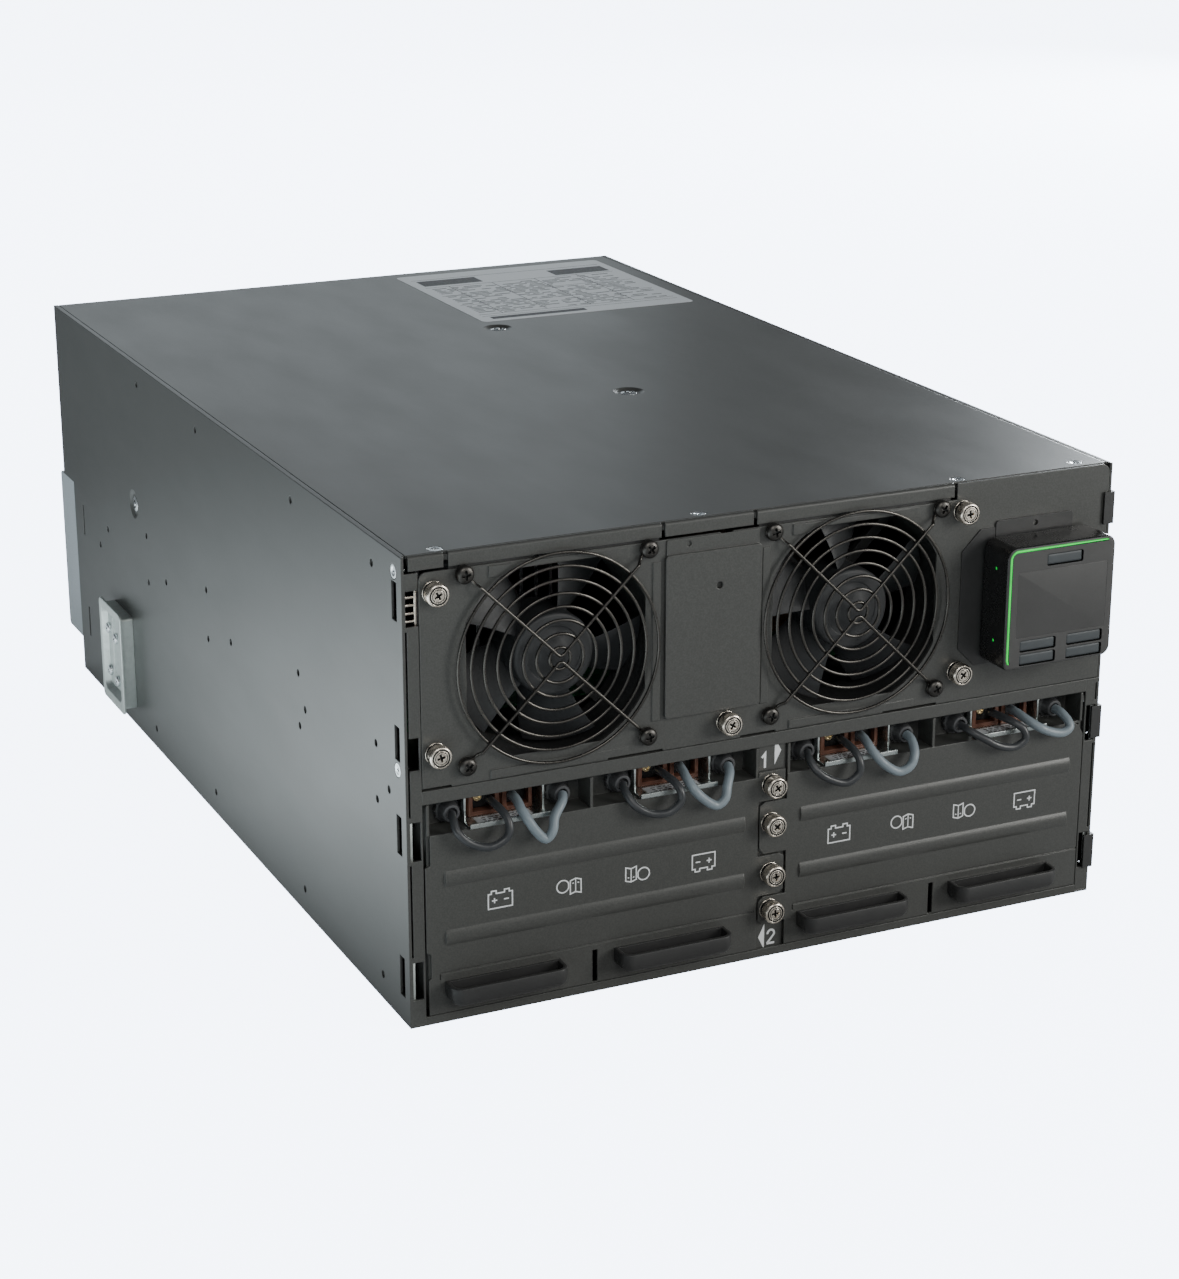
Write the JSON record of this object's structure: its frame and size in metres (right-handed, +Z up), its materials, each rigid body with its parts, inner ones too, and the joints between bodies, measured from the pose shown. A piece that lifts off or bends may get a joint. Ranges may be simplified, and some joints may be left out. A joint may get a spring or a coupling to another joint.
{
  "type": "rack battery power unit",
  "caption": "Six-unit rack power unit with fan section, tilting display and two slide-out battery modules.",
  "frame": {"origin": "centre of the chassis underside, between the front plane and the rear panel", "axes": "+X to the right seen from the front, +Y to the back, +Z up"},
  "size_m": [0.452, 0.7131, 0.263],
  "materials": {
    "charcoal_steel": "satin powder coat",
    "black_plastic": "matt moulded",
    "fan_plastic": "satin moulded",
    "guard_wire": "satin black",
    "zinc_steel": "zinc plated",
    "nickel_plate": "bright nickel",
    "terminal_grey": "satin",
    "circuit_board": "solder mask",
    "bare_aluminium": "extruded",
    "capacitor_can": "sleeved",
    "transformer_core": "varnished",
    "display_face": "fine matt",
    "light_green": "glowing",
    "key_rubber": "matt",
    "lever_white": "satin",
    "cell_plastic": "matt",
    "connector_brown": "satin",
    "dark_lead": "matt jacket",
    "grey_lead": "matt jacket"
  },
  "bodies": {
    "chassis": {"bottom_pan": "charcoal_steel", "left_side_panel": "charcoal_steel", "right_side_panel": "charcoal_steel", "top_cover": "charcoal_steel", "rear_panel": "charcoal_steel", "front_frame": "charcoal_steel", "bay_shelf": "charcoal_steel", "bay_divider": "charcoal_steel", "fan_panel": "charcoal_steel", "fan_cover_plate": "charcoal_steel", "fan_left_frame": "black_plastic", "fan_right_frame": "black_plastic", "fan_guards": "guard_wire", "guard_screws": "guard_wire", "contact_strips": "nickel_plate", "display_bracket": "black_plastic", "display_base": "black_plastic", "rail_brackets": "zinc_steel", "bracket_screws": "zinc_steel", "case_screws": "zinc_steel", "bezel_clips": "black_plastic", "terminal_box": "terminal_grey", "breaker_body": "black_plastic", "card_cover": "charcoal_steel", "power_board": "circuit_board", "heat_sink": "bare_aluminium", "transformers": "transformer_core", "capacitors": "capacitor_can"},
    "fan_left": {"fan_left_rotor": "fan_plastic"},
    "fan_right": {"fan_right_rotor": "fan_plastic"},
    "display_head": {"display_shell": "black_plastic", "display_window": "display_face", "light_pipe": "light_green"},
    "menu_button": {"menu_button": "key_rubber"},
    "upper_left_button": {"upper_left_button": "key_rubber"},
    "lower_left_button": {"lower_left_button": "key_rubber"},
    "upper_right_button": {"upper_right_button": "key_rubber"},
    "lower_right_button": {"lower_right_button": "key_rubber"},
    "breaker_toggle": {"breaker_toggle": "lever_white"},
    "fan_panel_screws": {"fan_panel_screws": "nickel_plate"},
    "battery_left_screws": {"battery_left_screws": "nickel_plate"},
    "battery_right_screws": {"battery_right_screws": "nickel_plate"},
    "battery_left": {"battery_left_tray": "charcoal_steel", "battery_left_cells": "cell_plastic", "battery_left_front": "charcoal_steel", "battery_left_handles": "black_plastic", "battery_left_connector_trays": "zinc_steel", "battery_left_connectors": "connector_brown", "battery_left_glands": "black_plastic", "battery_left_dark_leads": "dark_lead", "battery_left_grey_leads": "grey_lead"},
    "battery_right": {"battery_right_tray": "charcoal_steel", "battery_right_cells": "cell_plastic", "battery_right_front": "charcoal_steel", "battery_right_handles": "black_plastic", "battery_right_connector_trays": "zinc_steel", "battery_right_connectors": "connector_brown", "battery_right_glands": "black_plastic", "battery_right_dark_leads": "dark_lead", "battery_right_grey_leads": "grey_lead"}
  },
  "joints": [
    {"name": "fan_left_spin", "type": "hinge", "parent": "chassis", "child": "fan_left", "pos_m": [-0.1295, -0.315, 0.198], "axis": [0, 1, 0], "continuous": true},
    {"name": "fan_right_spin", "type": "hinge", "parent": "chassis", "child": "fan_right", "pos_m": [0.05, -0.315, 0.198], "axis": [0, 1, 0], "continuous": true},
    {"name": "display_tilt", "type": "hinge", "parent": "chassis", "child": "display_head", "pos_m": [0.1665, -0.3385, 0.224], "axis": [-1, 0, 0], "range_deg": [0, 15]},
    {"name": "breaker_throw", "type": "hinge", "parent": "chassis", "child": "breaker_toggle", "pos_m": [0.085, 0.331, 0.175], "axis": [-1, 0, 0], "range_deg": [0, 30]},
    {"name": "battery_left_slide", "type": "slide", "parent": "chassis", "child": "battery_left", "axis": [0, -1, 0], "range_m": [0, 0.5]},
    {"name": "battery_right_slide", "type": "slide", "parent": "chassis", "child": "battery_right", "axis": [0, -1, 0], "range_m": [0, 0.5]},
    {"name": "fan_panel_screws_release", "type": "slide", "parent": "chassis", "child": "fan_panel_screws", "axis": [0, -1, 0], "range_m": [0, 0.006]},
    {"name": "battery_left_screws_release", "type": "slide", "parent": "battery_left", "child": "battery_left_screws", "axis": [0, -1, 0], "range_m": [0, 0.006]},
    {"name": "battery_right_screws_release", "type": "slide", "parent": "battery_right", "child": "battery_right_screws", "axis": [0, -1, 0], "range_m": [0, 0.006]},
    {"name": "menu_button_press", "type": "slide", "parent": "display_head", "child": "menu_button", "axis": [0, 1, 0], "range_m": [0, 0.0008], "stiffness_N_per_m": 2000},
    {"name": "upper_left_button_press", "type": "slide", "parent": "display_head", "child": "upper_left_button", "axis": [0, 1, 0], "range_m": [0, 0.0008], "stiffness_N_per_m": 2000},
    {"name": "lower_left_button_press", "type": "slide", "parent": "display_head", "child": "lower_left_button", "axis": [0, 1, 0], "range_m": [0, 0.0008], "stiffness_N_per_m": 2000},
    {"name": "upper_right_button_press", "type": "slide", "parent": "display_head", "child": "upper_right_button", "axis": [0, 1, 0], "range_m": [0, 0.0008], "stiffness_N_per_m": 2000},
    {"name": "lower_right_button_press", "type": "slide", "parent": "display_head", "child": "lower_right_button", "axis": [0, 1, 0], "range_m": [0, 0.0008], "stiffness_N_per_m": 2000}
  ]
}
